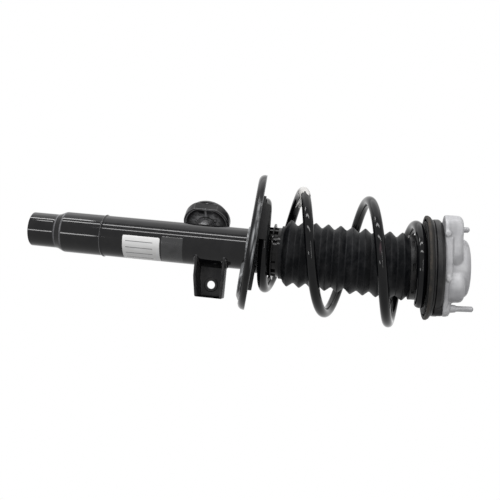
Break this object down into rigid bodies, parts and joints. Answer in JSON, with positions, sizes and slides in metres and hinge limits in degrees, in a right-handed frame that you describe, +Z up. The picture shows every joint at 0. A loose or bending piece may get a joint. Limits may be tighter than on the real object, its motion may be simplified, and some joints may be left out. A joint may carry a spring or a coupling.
{
  "type": "suspension strut",
  "caption": "Front suspension strut with coil spring, dust boot, spring perch, hose bracket, upper bearing and cast top mount on studs.",
  "frame": {"origin": "on the strut axis at the stop bead, the upper end of the knuckle clamp's seat", "axes": "+Z up the strut axis towards the top mount, +X towards the hose bracket"},
  "size_m": [0.1837, 0.1799, 0.5906],
  "materials": {
    "tube_paint": "glossy black paint, worn at the edges",
    "perch_paint": "glossy black coating",
    "spring_paint": "glossy black powder coat",
    "bracket_paint": "semi-gloss black coating",
    "can_paint": "semi-gloss black coating with a worn rim",
    "bright_steel": "bright turned steel",
    "sintered_steel": "grey sintered steel",
    "rod_chrome": "ground and chromed",
    "bronze": "dull bronze",
    "black_rubber": "matte black rubber",
    "boot_rubber": "matte dark grey rubber",
    "bump_foam": "cellular foam",
    "seat_rubber": "dusty brown-black rubber",
    "black_plastic": "matte black moulded plastic",
    "cage_plastic": "natural moulded plastic",
    "cast_aluminium": "satin die-cast aluminium",
    "nut_plating": "yellow zinc plating",
    "stud_plating": "bright zinc plating"
  },
  "bodies": {
    "strut_tube": {"reservoir_tube": "tube_paint", "base_cap": "tube_paint", "foot_valve": "sintered_steel", "pressure_tube": "bright_steel", "rod_guide": "sintered_steel", "rod_guide_bush": "bronze", "rod_seal": "black_rubber", "tube_cap": "tube_paint", "boot_collar": "black_plastic", "spring_perch": "perch_paint", "lower_spring_pad": "black_rubber", "coil_spring": "spring_paint", "dust_boot": "boot_rubber", "hose_bracket": "bracket_paint", "valve_neck": "bright_steel", "valve_can": "can_paint", "valve_cover": "black_plastic", "valve_connector": "black_plastic"},
    "rod_and_seat": {"piston_rod": "rod_chrome", "piston": "sintered_steel", "piston_band": "bronze", "valve_discs": "bright_steel", "piston_nut": "bright_steel", "rebound_stop": "black_rubber", "bump_stop": "bump_foam", "bump_stop_cup": "bright_steel", "upper_spring_seat": "seat_rubber", "upper_spring_pad": "black_rubber", "boot_clip_ring": "black_plastic", "bearing_lower_race": "black_plastic", "mount_core": "bright_steel", "core_washer": "bright_steel", "rod_nut": "nut_plating"},
    "bearing_cage_ring": {"bearing_cage": "cage_plastic", "bearing_balls": "bright_steel"},
    "top_mount": {"bearing_upper_race": "bright_steel", "bearing_cover": "black_plastic", "mount_casting": "cast_aluminium", "mount_rubber": "black_rubber", "mount_studs": "stud_plating"}
  },
  "joints": [
    {"name": "stroke", "type": "slide", "parent": "strut_tube", "child": "rod_and_seat", "axis": [0, 0, -1], "range_m": [0, 0.12], "stiffness_N_per_m": 28000, "springref_m": -0.004, "deforming": ["coil_spring", "dust_boot"]},
    {"name": "steer", "type": "hinge", "parent": "rod_and_seat", "child": "top_mount", "pos_m": [0, 0, 0.455], "axis": [-0.0698, 0, 0.9976], "continuous": true},
    {"name": "cage_roll", "type": "hinge", "parent": "rod_and_seat", "child": "bearing_cage_ring", "pos_m": [0, 0, 0.455], "axis": [-0.0698, 0, 0.9976], "continuous": true}
  ],
  "couplings": [
    {"joint": "cage_roll", "follows": "steer", "ratio": 0.5}
  ]
}
